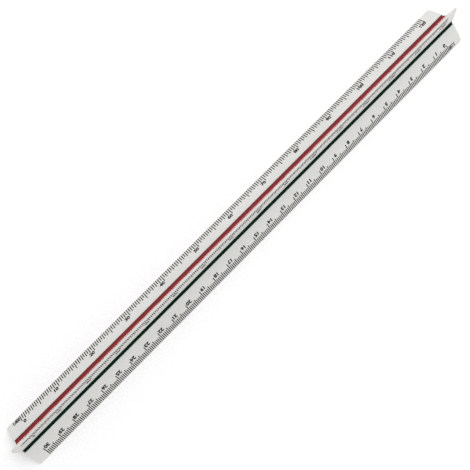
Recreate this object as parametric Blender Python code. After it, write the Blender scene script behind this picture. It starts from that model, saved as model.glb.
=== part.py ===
"""Triangular scale ruler: a one-piece three-armed plastic body with three colour strips.

The ruler lies along X on the tips of its two lower arms, and its third arm, the ridge,
points up. Between each two arms runs a flute, and each flute holds one colour strip in a
channel along its bottom. The origin is under the middle of the ruler, on the surface that
it lies on. Units are metres.
"""

import math

import bmesh
import bpy

# ---------------------------------------------------------------- driving dimensions
LENGTH = 0.317                     # overall length along X
EDGE_WIDTH = 0.0248                # overall width across two arms
TIP_RADIUS = 0.00065               # rounding along each arm's outer edge
FLUTE_APEX = 0.00282               # from the section's centre to where two flanks would meet
END_CORNER_RADIUS = 0.0010         # rounding of each arm's outer corner at both ends
EDGE_BREAK = 0.00012               # small bevel on the body's sharp edges

STRIP_CURVE = 2.15                 # radius of a strip's hollow top face, in its half widths
STRIP_THICKNESS = 0.0004
STRIP_DROP = 0.00015               # how far a strip's sides lie below the channel's rims
STRIP_END_SETBACK = 0.0006         # from the body's end face to the strip's end
STRIP_EDGE_BREAK = 0.00006
SIDE_GAP = 0.0002                  # strip to channel wall
FLOOR_GAP = 0.0003                 # strip to channel floor

ARM_COUNT = 3
ARM_PITCH = 2.0 * math.pi / ARM_COUNT
RIDGE_ANGLE = math.pi / 2.0        # direction of the ridge in the YZ plane, from +Y
TIP_STEPS = 15                     # straight pieces in a tip's arc
CHANNEL_STEPS = 10                 # straight pieces in a channel's or strip's arc
CORNER_STEPS = 3                   # straight pieces in an arm's rounded end corner
CORNER_TURN = math.pi / 4.0        # the corner's arc turns this far, then runs on straight
SMOOTH_ANGLE = math.radians(30.0)
BEVEL_ANGLE = math.radians(40.0)

# ---------------------------------------------------------------- sizes that follow
HALF_LENGTH = LENGTH / 2.0
HALF_PITCH = ARM_PITCH / 2.0
# The two lower arms droop 30 degrees, and their tips set the overall width.
TIP_CENTRE = (EDGE_WIDTH / 2.0 - TIP_RADIUS) / math.cos(math.radians(30.0))
CENTRE_HEIGHT = TIP_CENTRE * math.sin(math.radians(30.0)) + TIP_RADIUS

# name of the strip, half width of its channel, colour, roughness
FLUTES = (
    ("stripe_green", 0.00155, (0.012, 0.060, 0.028), 0.42),
    ("stripe_blue", 0.00170, (0.012, 0.060, 0.240), 0.42),
    ("stripe_red", 0.00270, (0.330, 0.022, 0.024), 0.42),
)
BODY_COLOUR = (0.80, 0.80, 0.78)
BODY_ROUGHNESS = 0.38


def clear_scene():
    """Remove whatever the scene holds, so that the script can start from any file."""
    for obj in list(bpy.data.objects):
        bpy.data.objects.remove(obj, do_unlink=True)


def plastic(name, colour, roughness):
    """A plain moulded plastic."""
    material = bpy.data.materials.new(name)
    material.use_nodes = True
    shader = material.node_tree.nodes["Principled BSDF"]
    shader.inputs["Base Color"].default_value = (*colour, 1.0)
    shader.inputs["Roughness"].default_value = roughness
    shader.inputs["Metallic"].default_value = 0.0
    return material


# ---------------------------------------------------------------- the section
def flank_taper():
    """Angle between an arm's flank and its axis.

    The flank runs from the flute's apex and is tangent to the round of the arm's tip.
    """
    along = TIP_CENTRE - FLUTE_APEX * math.cos(HALF_PITCH)
    aside = FLUTE_APEX * math.sin(HALF_PITCH)
    return math.atan2(aside, along) - math.asin(TIP_RADIUS / math.hypot(along, aside))


FLANK_TAPER = flank_taper()
# Seen across a flute, each flank climbs away from the flute's middle at this angle.
FLANK_CLIMB = math.radians(90.0) - HALF_PITCH - FLANK_TAPER


def in_section(radial, lateral, direction):
    """YZ point given along and across a direction from the section's centre."""
    y = radial * math.cos(direction) - lateral * math.sin(direction)
    z = radial * math.sin(direction) + lateral * math.cos(direction)
    return (y, z + CENTRE_HEIGHT)


def rim_radius(half_width):
    """Distance of a channel's rim from the section's centre, measured along the flute."""
    return FLUTE_APEX + half_width * math.tan(FLANK_CLIMB)


def hollow_top(half_width):
    """Radius of the strip's hollow top arc, and its centre, measured along the flute."""
    side = half_width - SIDE_GAP
    radius = STRIP_CURVE * side
    rise = math.sqrt(radius ** 2 - side ** 2)
    return radius, rim_radius(half_width) - STRIP_DROP + rise


def hollow_arc(half_width, side, depth, direction):
    """Arc across a flute, `depth` below the strip's top, from one side to the other."""
    radius, centre = hollow_top(half_width)
    radius += depth
    sweep = math.asin(side / radius)
    points = []
    for step in range(CHANNEL_STEPS + 1):
        angle = sweep * (2.0 * step / CHANNEL_STEPS - 1.0)
        radial = centre - radius * math.cos(angle)
        points.append(in_section(radial, radius * math.sin(angle), direction))
    return points


def tip_arc(shortening, direction):
    """Round of one arm's tip, tangent to both flanks, with the arm `shortening` less long."""
    back = shortening / (1.0 - math.sin(FLANK_TAPER))
    centre = TIP_CENTRE - back
    radius = TIP_RADIUS + back * math.sin(FLANK_TAPER)
    sweep = math.radians(90.0) - FLANK_TAPER
    points = []
    for step in range(TIP_STEPS + 1):
        angle = sweep * (2.0 * step / TIP_STEPS - 1.0)
        radial = centre + radius * math.cos(angle)
        points.append(in_section(radial, radius * math.sin(angle), direction))
    return points


def channel(half_width, direction):
    """Rim, floor and rim of the channel that a strip sits in."""
    rim = rim_radius(half_width)
    floor = hollow_arc(half_width, half_width, STRIP_THICKNESS + FLOOR_GAP, direction)
    first = in_section(rim, -half_width, direction)
    last = in_section(rim, half_width, direction)
    return [first] + floor + [last]


def body_section(shortening):
    """Outline of the three-armed star, counterclockwise in the YZ plane."""
    outline = []
    for index, (_, half_width, _, _) in enumerate(FLUTES):
        arm = RIDGE_ANGLE + index * ARM_PITCH
        outline += tip_arc(shortening, arm)
        outline += channel(half_width, arm + HALF_PITCH)
    return outline


def strip_section(half_width, direction):
    """Outline of one colour strip: a thin band, hollow on top."""
    side = half_width - SIDE_GAP
    top = hollow_arc(half_width, side, 0.0, direction)
    bottom = hollow_arc(half_width, side, STRIP_THICKNESS, direction)
    return bottom + top[::-1]


# ---------------------------------------------------------------- building
def end_stations():
    """Distance from the end face, and arm shortening there, out to the end face."""
    stations = []
    for step in range(CORNER_STEPS + 1):
        turn = CORNER_TURN * step / CORNER_STEPS
        inset = END_CORNER_RADIUS * (1.0 - math.sin(turn))
        stations.append((inset, END_CORNER_RADIUS * (1.0 - math.cos(turn))))
    inset, shortening = stations[-1]
    stations.append((0.0, shortening + inset * math.tan(CORNER_TURN)))
    return stations


def body_rings():
    """X place and outline of each section of the body, from -X to +X."""
    stations = end_stations()
    near = [(inset - HALF_LENGTH, body_section(cut)) for inset, cut in stations[::-1]]
    far = [(HALF_LENGTH - inset, body_section(cut)) for inset, cut in stations]
    return near + far


def loft(name, rings, material, edge_break):
    """Closed body through rings of (x, outline), all with the same number of points."""
    mesh = bpy.data.meshes.new(name)
    work = bmesh.new()
    rows = [[work.verts.new((x, y, z)) for y, z in outline] for x, outline in rings]
    for near, far in zip(rows, rows[1:]):
        for index in range(len(near)):
            work.faces.new((near[index - 1], near[index], far[index], far[index - 1]))
    work.faces.new(rows[0][::-1])
    work.faces.new(rows[-1])
    bmesh.ops.recalc_face_normals(work, faces=work.faces[:])
    work.to_mesh(mesh)
    work.free()
    mesh.materials.append(material)
    obj = bpy.data.objects.new(name, mesh)
    bpy.context.scene.collection.objects.link(obj)
    soften(obj, edge_break)


def soften(obj, edge_break):
    """Break the sharp edges and shade the round faces smooth."""
    bevel = obj.modifiers.new("edge_break", "BEVEL")
    bevel.width = edge_break
    bevel.segments = 2
    bevel.limit_method = "ANGLE"
    bevel.angle_limit = BEVEL_ANGLE
    obj.data.shade_smooth()
    obj.data.set_sharp_from_angle(angle=SMOOTH_ANGLE)


def build_body():
    """The white one-piece ruler body."""
    material = plastic("white_plastic", BODY_COLOUR, BODY_ROUGHNESS)
    loft("ruler_body", body_rings(), material, EDGE_BREAK)


def build_strips():
    """The three colour strips, one in each flute."""
    reach = HALF_LENGTH - STRIP_END_SETBACK
    for index, (name, half_width, colour, roughness) in enumerate(FLUTES):
        flute = RIDGE_ANGLE + index * ARM_PITCH + HALF_PITCH
        outline = strip_section(half_width, flute)
        material = plastic(name + "_plastic", colour, roughness)
        loft(name, [(-reach, outline), (reach, outline)], material, STRIP_EDGE_BREAK)


def main():
    clear_scene()
    build_body()
    build_strips()


main()
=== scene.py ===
import math
from collections import namedtuple

import bmesh
import bpy
from mathutils import Matrix, Vector
from mathutils.bvhtree import BVHTree


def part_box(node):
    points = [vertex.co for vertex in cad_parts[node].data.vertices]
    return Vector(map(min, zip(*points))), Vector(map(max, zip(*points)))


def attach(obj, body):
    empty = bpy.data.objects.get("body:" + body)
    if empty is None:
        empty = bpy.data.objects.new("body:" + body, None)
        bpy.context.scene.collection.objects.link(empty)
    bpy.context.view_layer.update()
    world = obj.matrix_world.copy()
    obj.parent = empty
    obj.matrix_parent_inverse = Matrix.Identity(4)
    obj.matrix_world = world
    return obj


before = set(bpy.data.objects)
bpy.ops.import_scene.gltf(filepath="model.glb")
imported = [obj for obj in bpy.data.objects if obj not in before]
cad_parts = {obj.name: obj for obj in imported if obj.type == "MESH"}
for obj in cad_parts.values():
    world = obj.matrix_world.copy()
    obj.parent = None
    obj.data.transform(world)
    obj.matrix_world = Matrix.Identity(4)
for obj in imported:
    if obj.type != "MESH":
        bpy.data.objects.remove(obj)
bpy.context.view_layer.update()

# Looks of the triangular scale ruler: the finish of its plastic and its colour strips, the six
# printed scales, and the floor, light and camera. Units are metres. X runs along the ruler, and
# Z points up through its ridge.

BODY = "ruler_body"

# ---------------------------------------------------------------- driving dimensions
MM = 0.001
END_MARGIN = 9.8 * MM              # blank stretch before a scale's zero
FAR_MARGIN = 8.8 * MM              # and on the faces of the far arm
SCALE_LENGTH = 300.0 * MM
INK_LIFT = 0.018 * MM              # how far the print stands above the plastic
INK_SINK = 0.010 * MM              # how far it reaches into the plastic
TICK_WIDTH = 0.50 * MM             # or half of the scale's pitch, if that is less
EDGE_ROUND = 0.70 * MM             # past this distance from an arm's edge its face is flat
ROUND_STEPS = 4                    # straight pieces of a tick over the rounded edge
RIDGE_START = 0.50 * MM            # where ticks start on the faces of the ridge,
UPPER_START = 0.27 * MM            # on the upper faces of the other arms,
LOWER_START = 0.80 * MM            # and on their lower faces, clear of the table
RAY_START = 1.0 * MM               # how far above a face the search for its plastic starts

RIDGE = 90.0                       # directions of the arms in the YZ plane, from +Y
NEAR_ARM = 210.0
FAR_ARM = 330.0
ARM_DROOP = math.radians(30.0)     # slope of the two lower arms

# Each scale: ratio, arm, side of the arm, ticks in its length, how much the numbers step by,
# and its marks. A mark says that every so many ticks one reaches this far in from the edge of
# the arm, in millimetres. The numbers stand at the first mark of each scale.
Scale = namedtuple("Scale", "ratio arm side ticks step marks")
SCALES = (
    Scale("1:100", NEAR_ARM, -1, 300, 1, ((10, 5.7), (5, 4.4), (1, 3.55))),
    Scale("1:400", FAR_ARM, 1, 240, 10, ((20, 5.2), (10, 5.2), (2, 4.2), (1, 3.4))),
    Scale("1:500", RIDGE, 1, 300, 10, ((20, 5.7), (10, 5.2), (2, 4.5), (1, 3.8))),
    Scale("1:200", RIDGE, -1, 300, 2, ((10, 5.7), (5, 4.8), (1, 3.8))),
    Scale("1:250", NEAR_ARM, 1, 375, 5, ((25, 5.7), (5, 4.4), (1, 3.55))),
    Scale("1:300", FAR_ARM, -1, 180, 10, ((20, 5.7), (10, 5.0), (2, 4.2), (1, 3.4))),
)
ZERO_TICK = 4.5 * MM               # end of the zero tick, from the edge of the arm

# Each colour strip: node, direction of its flute in the YZ plane, its darker colour (used for
# random stretches and for painted shade along the strip's sides), and its bright colour, shown in
# the strip's middle.
STRIPS = (
    ("stripe_red", 30.0, (0.115, 0.0100, 0.0105), (0.280, 0.0320, 0.0330)),
    ("stripe_green", 150.0, (0.0002, 0.0060, 0.0030), (0.0012, 0.0170, 0.0095)),
    ("stripe_blue", 270.0, (0.004, 0.020, 0.110), (0.014, 0.055, 0.230)),
)

NUMBER_TOP = 4.40 * MM             # top of the numbers, from the edge of an arm
RIDGE_NUMBER_TOP = 5.20 * MM       # and on the ridge
NUMBER_HEIGHT = 2.30 * MM
NUMBER_STRETCH = 1.10              # width of the numbers, against the font's own
NUMBER_SHIFT = -2.20 * MM          # middle of a number, from its tick, along the scale
ZERO_SHIFT = 1.30 * MM             # and of the zero
NUMBER_WEIGHT = 0.053              # how much the strokes are thickened, in font sizes
RATIO_TOP = 0.65 * MM
RATIO_HEIGHT = 2.50 * MM
RATIO_STRETCH = 0.68
RATIO_GAP = 0.50 * MM              # from the end of the ratio to the zero tick
RATIO_WEIGHT = 0.053
FONT_STEPS = 3                     # straight pieces between two points of a font outline
WELD = 1e-7                        # ink corners closer than this are joined

# ---------------------------------------------------------------- colours and gloss
WHITE_DULL = (0.625, 0.622, 0.603)
WHITE_CLEAN = (0.668, 0.665, 0.648)
WHITE_SCUFFED = (0.530, 0.524, 0.503)
WHITE_HANDLED = (0.570, 0.552, 0.512)
HANDLED_FROM = 12.6 * MM           # from the ruler's axis, where wear along the edges begins
HANDLED_FULL = 14.2 * MM           # and where it is at its full strength
STRIP_DUST = (0.34, 0.33, 0.31)
STRIP_GLOSS = 0.01                 # specular level of the colour strips
INK_SOLID = (0.010, 0.010, 0.011)
INK_RUBBED = (0.10, 0.10, 0.10)
INK_GLOSS = 0.08                   # specular level of the ink
PAPER_DULL = (0.930, 0.930, 0.928)
PAPER_CLEAN = (0.945, 0.945, 0.943)
PAPER_GLOSS = 0.1                  # specular level of the floor

# ---------------------------------------------------------------- camera, floor and light
CAMERA_PLACE = Vector((-0.0488, -0.0349, 0.3760))
CAMERA_AIM = Vector((-0.0067, -0.0001, 0.0))
PICTURE_UP = math.radians(44.63)   # level direction that points up in the picture, from +X
LENS = 55.03                       # millimetres, as is the sensor's width
SENSOR = 36.0
NEAREST = 0.01                     # the camera sees nothing closer than this

FLOOR_SIZE = 6.0
SKY_STRENGTH = 0.895
KEY_PLACE = Vector((0.42, 0.14, 0.80))
KEY_SIZE = 0.80
KEY_POWER = 3.2


# ---------------------------------------------------------------- node helpers
# A Mix node has a set of sockets for each kind of value. These are its colours.
MIX_FIRST = 6
MIX_SECOND = 7
MIX_RESULT = 2


class Finish:
    """A material under construction, with short calls for the nodes that it needs."""

    def __init__(self, name):
        self.material = bpy.data.materials.new(name)
        self.material.use_nodes = True
        self.tree = self.material.node_tree
        self.shader = self.tree.nodes["Principled BSDF"]
        self.coordinates = self.tree.nodes.new("ShaderNodeTexCoord")

    def link(self, source, target):
        self.tree.links.new(source, target)

    def stretched(self, factors):
        """Object coordinates, scaled along each axis."""
        mapping = self.tree.nodes.new("ShaderNodeMapping")
        mapping.inputs["Scale"].default_value = factors
        self.link(self.coordinates.outputs["Object"], mapping.inputs["Vector"])
        return mapping.outputs["Vector"]

    def noise(self, factors, detail=2.0, roughness=0.5):
        """Soft noise with this many waves to a metre along each axis."""
        noise = self.tree.nodes.new("ShaderNodeTexNoise")
        noise.inputs["Scale"].default_value = 1.0
        noise.inputs["Detail"].default_value = detail
        noise.inputs["Roughness"].default_value = roughness
        self.link(self.stretched(factors), noise.inputs["Vector"])
        return noise.outputs["Fac"]

    def spread(self, value, low, high, to_low, to_high):
        """The value, moved from one range to another and kept inside it."""
        spread = self.tree.nodes.new("ShaderNodeMapRange")
        spread.inputs["From Min"].default_value = low
        spread.inputs["From Max"].default_value = high
        spread.inputs["To Min"].default_value = to_low
        spread.inputs["To Max"].default_value = to_high
        self.link(value, spread.inputs["Value"])
        return spread.outputs["Result"]

    def reckon(self, operation, first, second=0.0):
        """Result of a Math node; each value is a number or another node's output."""
        node = self.tree.nodes.new("ShaderNodeMath")
        node.operation = operation
        for socket, value in zip(node.inputs, (first, second)):
            if isinstance(value, float):
                socket.default_value = value
            else:
                self.link(value, socket)
        return node.outputs["Value"]

    def blend(self, factor, first, second):
        """Colour between two others; each is a colour or another node's output."""
        mix = self.tree.nodes.new("ShaderNodeMix")
        mix.data_type = "RGBA"
        self.link(factor, mix.inputs["Factor"])
        sockets = (mix.inputs[MIX_FIRST], mix.inputs[MIX_SECOND])
        for socket, value in zip(sockets, (first, second)):
            if isinstance(value, tuple):
                socket.default_value = (*value, 1.0)
            else:
                self.link(value, socket)
        return mix.outputs[MIX_RESULT]

    def bump(self, height, distance, strength, below=None):
        """Surface relief, on top of another bump if there is one."""
        bump = self.tree.nodes.new("ShaderNodeBump")
        bump.inputs["Distance"].default_value = distance
        bump.inputs["Strength"].default_value = strength
        self.link(height, bump.inputs["Height"])
        if below is not None:
            self.link(below, bump.inputs["Normal"])
        return bump.outputs["Normal"]

    def along(self, direction):
        """How far a point lies along a direction."""
        node = self.tree.nodes.new("ShaderNodeVectorMath")
        node.operation = "DOT_PRODUCT"
        node.inputs[1].default_value = direction
        self.link(self.coordinates.outputs["Object"], node.inputs[0])
        return node.outputs["Value"]

    def edge_distance(self):
        """Distance of a point from the ruler's axis, which is greatest along the arms' edges."""
        low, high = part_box(BODY)
        across = (high.y - low.y) / 2.0
        centre = high.z - across / math.cos(ARM_DROOP)
        split = self.tree.nodes.new("ShaderNodeSeparateXYZ")
        self.link(self.coordinates.outputs["Object"], split.inputs["Vector"])
        height = self.reckon("SUBTRACT", split.outputs["Z"], centre)
        squares = self.reckon("MULTIPLY", split.outputs["Y"], split.outputs["Y"])
        squares = self.reckon("ADD", squares, self.reckon("MULTIPLY", height, height))
        return self.reckon("SQRT", squares)

    def finish(self, colour, roughness, normal):
        """Wire up the shader, and give the finished material."""
        self.link(colour, self.shader.inputs["Base Color"])
        self.link(roughness, self.shader.inputs["Roughness"])
        self.link(normal, self.shader.inputs["Normal"])
        return self.material


# ---------------------------------------------------------------- materials
def white_plastic():
    """Satin white plastic: a fine grain, faint scuffs along the ruler, and handled edges."""
    make = Finish("white_plastic")
    tone = make.spread(make.noise((22.0, 90.0, 90.0), 3.0), 0.3, 0.7, 0.0, 1.0)
    clean = make.blend(tone, WHITE_DULL, WHITE_CLEAN)

    streaks = make.noise((60.0, 5200.0, 5200.0), 2.0, 0.6)
    scuffs = make.spread(streaks, 0.62, 0.78, 0.0, 0.5)
    scuffed = make.blend(scuffs, clean, WHITE_SCUFFED)

    edge = make.spread(make.edge_distance(), HANDLED_FROM, HANDLED_FULL, 0.0, 1.0)
    patches = make.spread(make.noise((150.0, 500.0, 500.0), 4.0, 0.65), 0.42, 0.72, 0.0, 1.0)
    handled = make.reckon("MULTIPLY", edge, patches)
    colour = make.blend(handled, scuffed, WHITE_HANDLED)

    grain = make.noise((3600.0, 3600.0, 3600.0), 3.0, 0.6)
    waves = make.noise((120.0, 420.0, 420.0), 2.0)
    rough = make.spread(grain, 0.3, 0.7, 0.34, 0.46)
    rough = make.reckon("ADD", rough, make.reckon("MULTIPLY", handled, 0.12))

    normal = make.bump(grain, 0.020 * MM, 0.35)
    normal = make.bump(streaks, 0.010 * MM, 0.40, normal)
    normal = make.bump(waves, 0.060 * MM, 0.25, normal)
    return make.finish(colour, rough, normal)


def strip_plastic(node, flute, deep_and_shaded, bright):
    """Coloured strip: darker along its sides, which is painted shade of its hollow groove, darker
    in random stretches, and a little dusty.
    """
    make = Finish(node.replace("stripe", "strip") + "_plastic")
    across = Vector((0.0, -math.sin(math.radians(flute)), math.cos(math.radians(flute))))
    spots = [across.dot(vertex.co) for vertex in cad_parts[node].data.vertices]
    middle = (max(spots) + min(spots)) / 2.0
    half = (max(spots) - min(spots)) / 2.0
    side = make.reckon("ABSOLUTE", make.reckon("SUBTRACT", make.along(across), middle))
    # Painted shade: the strip is darkened towards both sides, where the ridge and the groove's
    # walls would shade it.
    painted_side_shade = make.spread(side, 0.35 * half, 0.95 * half, 0.0, 0.75)
    stretches = make.spread(make.noise((14.0, 160.0, 160.0), 4.0, 0.6), 0.35, 0.65, 0.0, 0.45)
    colour = make.blend(make.reckon("MAXIMUM", painted_side_shade, stretches), bright, deep_and_shaded)
    specks = make.noise((1500.0, 2600.0, 2600.0), 4.0, 0.7)
    colour = make.blend(make.spread(specks, 0.62, 0.76, 0.0, 0.06), colour, STRIP_DUST)
    rough = make.spread(specks, 0.3, 0.7, 0.42, 0.62)
    normal = make.bump(specks, 0.012 * MM, 0.35)
    make.shader.inputs["Specular IOR Level"].default_value = STRIP_GLOSS
    return make.finish(colour, rough, normal)


def print_ink():
    """Near-black printing ink, a little uneven and rubbed in places."""
    make = Finish("printing_ink")
    cover = make.noise((1300.0, 2400.0, 2400.0), 4.0, 0.65)
    rubbed = make.spread(cover, 0.58, 0.78, 0.0, 0.28)
    colour = make.blend(rubbed, INK_SOLID, INK_RUBBED)
    rough = make.spread(cover, 0.3, 0.7, 0.42, 0.60)
    normal = make.bump(cover, 0.006 * MM, 0.40)
    make.shader.inputs["Specular IOR Level"].default_value = INK_GLOSS
    return make.finish(colour, rough, normal)


def floor_paper():
    """Pale matt floor."""
    make = Finish("floor_paper")
    fibres = make.noise((900.0, 900.0, 900.0), 2.0)
    colour = make.blend(fibres, PAPER_DULL, PAPER_CLEAN)
    rough = make.spread(fibres, 0.3, 0.7, 0.88, 0.96)
    make.shader.inputs["Specular IOR Level"].default_value = PAPER_GLOSS
    return make.finish(colour, rough, make.bump(fibres, 0.02 * MM, 0.2))


def dress(node, material):
    """Give a CAD node its finish."""
    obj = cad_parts[node]
    if not obj.material_slots:
        obj.data.materials.append(None)
    for slot in obj.material_slots:
        slot.link = "OBJECT"
        slot.material = material


# ---------------------------------------------------------------- the printed faces
FACE_COUNT = 6
LENGTHWISE = 0.1                   # faces along the ruler have less of X than this in their normal
SAME_WAY = 0.9999                  # cosine between the normals of polygons of one flat face


def flat_normals(body):
    """Bearings that the six long flat faces look in: those with the most area."""
    areas = {}
    for polygon in body.data.polygons:
        if abs(polygon.normal.x) < LENGTHWISE:
            bearing = round(math.degrees(math.atan2(polygon.normal.z, polygon.normal.y)), 1)
            areas[bearing] = areas.get(bearing, 0.0) + polygon.area
    largest = sorted(areas, key=areas.get)[-FACE_COUNT:]
    return [math.radians(bearing) for bearing in largest]


def in_plane(bearing):
    """Direction in the YZ plane, from +Y."""
    return Vector((0.0, math.cos(bearing), math.sin(bearing)))


class Face:
    """One long flat face, measured inwards from its arm's edge and along its scale."""

    def __init__(self, body, arm, side):
        outwards = in_plane(math.radians(arm + 90.0 * side))
        self.normal = max(map(in_plane, flat_normals(body)), key=outwards.dot)
        self.inward = self.normal.cross(Vector((1.0, 0.0, 0.0))).normalized()
        if self.inward.dot(in_plane(math.radians(arm))) > 0.0:
            self.inward.negate()
        self.reading = self.normal.cross(self.inward)
        corners = [vertex.co for vertex in body.data.vertices]
        self.edge = min(self.inward.dot(corner) for corner in corners)
        self.level = max(self.normal.dot(corner) for corner in self.own(body))
        self.tree = BVHTree.FromPolygons(corners, [p.vertices for p in body.data.polygons])
        reach = max(abs(corner.x) for corner in corners)
        margin = FAR_MARGIN if arm == FAR_ARM else END_MARGIN
        self.zero = -self.reading * (reach - margin)

    def own(self, body):
        """Corners of the polygons that make up this face."""
        for polygon in body.data.polygons:
            if polygon.normal.dot(self.normal) > SAME_WAY:
                for index in polygon.vertices:
                    yield body.data.vertices[index].co

    def surface(self, distance):
        """Point on the plastic, and the way it faces, this far in from the arm's edge."""
        above = self.inward * (self.edge + distance) + self.normal * (self.level + RAY_START)
        point, normal, _, _ = self.tree.ray_cast(above, -self.normal)
        return point, normal

    def place(self, along, distance):
        """Matrix for flat artwork: X along the scale, Y to the arm's edge, Z out of the face."""
        point, _ = self.surface(distance)
        origin = self.zero + point + self.reading * along
        axes = Matrix((self.reading, -self.inward, self.normal)).transposed()
        return Matrix.Translation(origin) @ axes.to_4x4()


# ---------------------------------------------------------------- ink
def tick_stations(start, end):
    """Distances from the edge at which a tick is shaped, closer together where it bends."""
    if start >= EDGE_ROUND:
        return [start, end]
    step = (EDGE_ROUND - start) / ROUND_STEPS
    bend = [start + step * (index + 1) for index in range(ROUND_STEPS)]
    return [start] + bend + [end]


def add_tick(work, face, along, start, end, width):
    """A closed strip of ink that follows the face from `start` to `end`."""
    side = face.reading * (width / 2.0)
    rows = []
    for distance in tick_stations(start, end):
        point, normal = face.surface(distance)
        point = face.zero + face.reading * along + point
        top = point + normal * INK_LIFT
        bottom = point - normal * INK_SINK
        corners = (top - side, top + side, bottom + side, bottom - side)
        rows.append([work.verts.new(corner) for corner in corners])
    for near, far in zip(rows, rows[1:]):
        for index in range(len(near)):
            work.faces.new((near[index - 1], near[index], far[index], far[index - 1]))
    work.faces.new(rows[0][::-1])
    work.faces.new(rows[-1])


def extent(mesh, axis):
    """Lowest and highest place of a mesh along one of its axes."""
    places = [vertex.co[axis] for vertex in mesh.vertices]
    return min(places), max(places)


def lettering(text, height, stretch, weight):
    """Solid figures of this height, with the middle of their top edge at the origin."""
    curve = bpy.data.curves.new("figures", "FONT")
    curve.body = text
    curve.resolution_u = FONT_STEPS
    curve.offset = weight
    writer = bpy.data.objects.new("figures", curve)
    bpy.context.scene.collection.objects.link(writer)
    bottom, top = extent(bpy.data.meshes.new_from_object(writer), 1)
    scale = height / (top - bottom)
    curve.extrude = (INK_LIFT + INK_SINK) / 2.0 / scale
    mesh = bpy.data.meshes.new_from_object(writer)
    bpy.data.objects.remove(writer)
    left, right = extent(mesh, 0)
    _, top = extent(mesh, 1)
    mesh.transform(Matrix.Translation((-(left + right) / 2.0, -top, 0.0)))
    mesh.transform(Matrix.Diagonal((scale * stretch, scale, scale, 1.0)))
    mesh.transform(Matrix.Translation((0.0, 0.0, (INK_LIFT - INK_SINK) / 2.0)))
    return mesh


def add_figures(work, mesh, place):
    """Put one copy of some lettering on a face."""
    first = len(work.verts)
    work.from_mesh(mesh)
    work.verts.ensure_lookup_table()
    bmesh.ops.transform(work, matrix=place, verts=work.verts[first:])


def ink_piece(scale, kind, work, ink):
    """Turn the ink drawn so far into a piece of the ruler."""
    name = "scale_" + scale.ratio.replace(":", "_") + "_" + kind
    bmesh.ops.remove_doubles(work, verts=work.verts[:], dist=WELD)
    bmesh.ops.recalc_face_normals(work, faces=work.faces[:])
    mesh = bpy.data.meshes.new(name)
    work.to_mesh(mesh)
    work.free()
    mesh.materials.append(ink)
    piece = bpy.data.objects.new(name, mesh)
    bpy.context.scene.collection.objects.link(piece)
    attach(piece, "root")


def tick_end(index, marks):
    """How far in a tick reaches."""
    if index == 0:
        return ZERO_TICK
    return next(end for every, end in marks if index % every == 0) * MM


def tick_start(face, scale):
    """How far from the edge the ticks of a scale start."""
    if scale.arm == RIDGE:
        return RIDGE_START
    return UPPER_START if face.normal.z > 0.0 else LOWER_START


def print_ticks(face, ink, scale):
    """A scale's graduation."""
    pitch = SCALE_LENGTH / scale.ticks
    width = min(TICK_WIDTH, pitch / 2.0)
    start = tick_start(face, scale)
    work = bmesh.new()
    for index in range(scale.ticks + 1):
        add_tick(work, face, index * pitch, start, tick_end(index, scale.marks), width)
    ink_piece(scale, "ticks", work, ink)


def print_numbers(face, ink, scale):
    """A scale's numbers, one for each tick of its first mark."""
    pitch = SCALE_LENGTH / scale.ticks
    top = RIDGE_NUMBER_TOP if scale.arm == RIDGE else NUMBER_TOP
    numbered_every = scale.marks[0][0]
    work = bmesh.new()
    for index in range(0, scale.ticks + 1, numbered_every):
        text = str(index // numbered_every * scale.step)
        figures = lettering(text, NUMBER_HEIGHT, NUMBER_STRETCH, NUMBER_WEIGHT)
        shift = NUMBER_SHIFT if index else ZERO_SHIFT
        add_figures(work, figures, face.place(index * pitch + shift, top))
    ink_piece(scale, "numbers", work, ink)


def print_ratio(face, ink, scale):
    """A scale's ratio, just before its zero tick."""
    figures = lettering(scale.ratio, RATIO_HEIGHT, RATIO_STRETCH, RATIO_WEIGHT)
    _, half_width = extent(figures, 0)
    work = bmesh.new()
    add_figures(work, figures, face.place(-RATIO_GAP - half_width, RATIO_TOP))
    ink_piece(scale, "ratio", work, ink)


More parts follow.
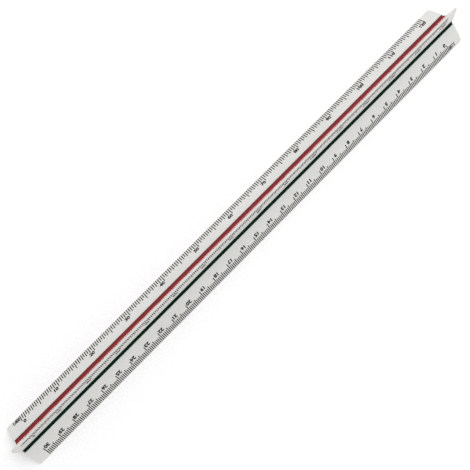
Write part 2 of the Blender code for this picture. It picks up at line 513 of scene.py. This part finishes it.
# ---------------------------------------------------------------- stage
def make_floor():
    """A plain level floor at the height that the ruler lies on."""
    mesh = bpy.data.meshes.new("floor")
    work = bmesh.new()
    bmesh.ops.create_grid(work, x_segments=1, y_segments=1, size=FLOOR_SIZE / 2.0)
    work.to_mesh(mesh)
    work.free()
    mesh.materials.append(floor_paper())
    floor = bpy.data.objects.new("floor", mesh)
    bpy.context.scene.collection.objects.link(floor)


def look_from(place, aim, up):
    """Rotation of a camera or light at `place` that looks at `aim`, with `up` upwards."""
    forward = (aim - place).normalized()
    right = forward.cross(up).normalized()
    return Matrix((right, right.cross(forward), -forward)).transposed().to_quaternion()


def add_aimed(name, data, place, aim, up):
    """Put a camera or light in the scene, pointing at `aim`."""
    obj = bpy.data.objects.new(name, data)
    obj.location = place
    obj.rotation_mode = "QUATERNION"
    obj.rotation_quaternion = look_from(place, aim, up)
    bpy.context.scene.collection.objects.link(obj)
    return obj


def make_light():
    """An even white sky and one large soft lamp."""
    world = bpy.data.worlds.new("studio")
    bpy.context.scene.world = world
    world.use_nodes = True
    background = world.node_tree.nodes["Background"]
    background.inputs["Color"].default_value = (1.0, 1.0, 1.0, 1.0)
    background.inputs["Strength"].default_value = SKY_STRENGTH

    lamp = bpy.data.lights.new("key", "AREA")
    lamp.shape = "SQUARE"
    lamp.size = KEY_SIZE
    lamp.energy = KEY_POWER
    add_aimed("key", lamp, KEY_PLACE, Vector((0.0, 0.0, 0.0)), Vector((0.0, 1.0, 0.0)))


def make_camera():
    """A camera high above the ruler, with the ruler across the picture's diagonal."""
    data = bpy.data.cameras.new("camera")
    data.lens = LENS
    data.sensor_width = SENSOR
    data.clip_start = NEAREST
    up = Vector((math.cos(PICTURE_UP), math.sin(PICTURE_UP), 0.0))
    camera = add_aimed("camera", data, CAMERA_PLACE, CAMERA_AIM, up)
    bpy.context.scene.camera = camera


def main():
    make_camera()
    make_light()
    make_floor()
    bpy.context.scene.view_settings.view_transform = "Standard"
    bpy.context.scene.cycles.use_denoising = False     # it would smear the finest marks

    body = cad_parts[BODY]
    dress(BODY, white_plastic())
    for node, flute, deep_and_shaded, bright in STRIPS:
        dress(node, strip_plastic(node, flute, deep_and_shaded, bright))

    ink = print_ink()
    for scale in SCALES:
        face = Face(body, scale.arm, scale.side)
        print_ticks(face, ink, scale)
        print_numbers(face, ink, scale)
        print_ratio(face, ink, scale)


main()
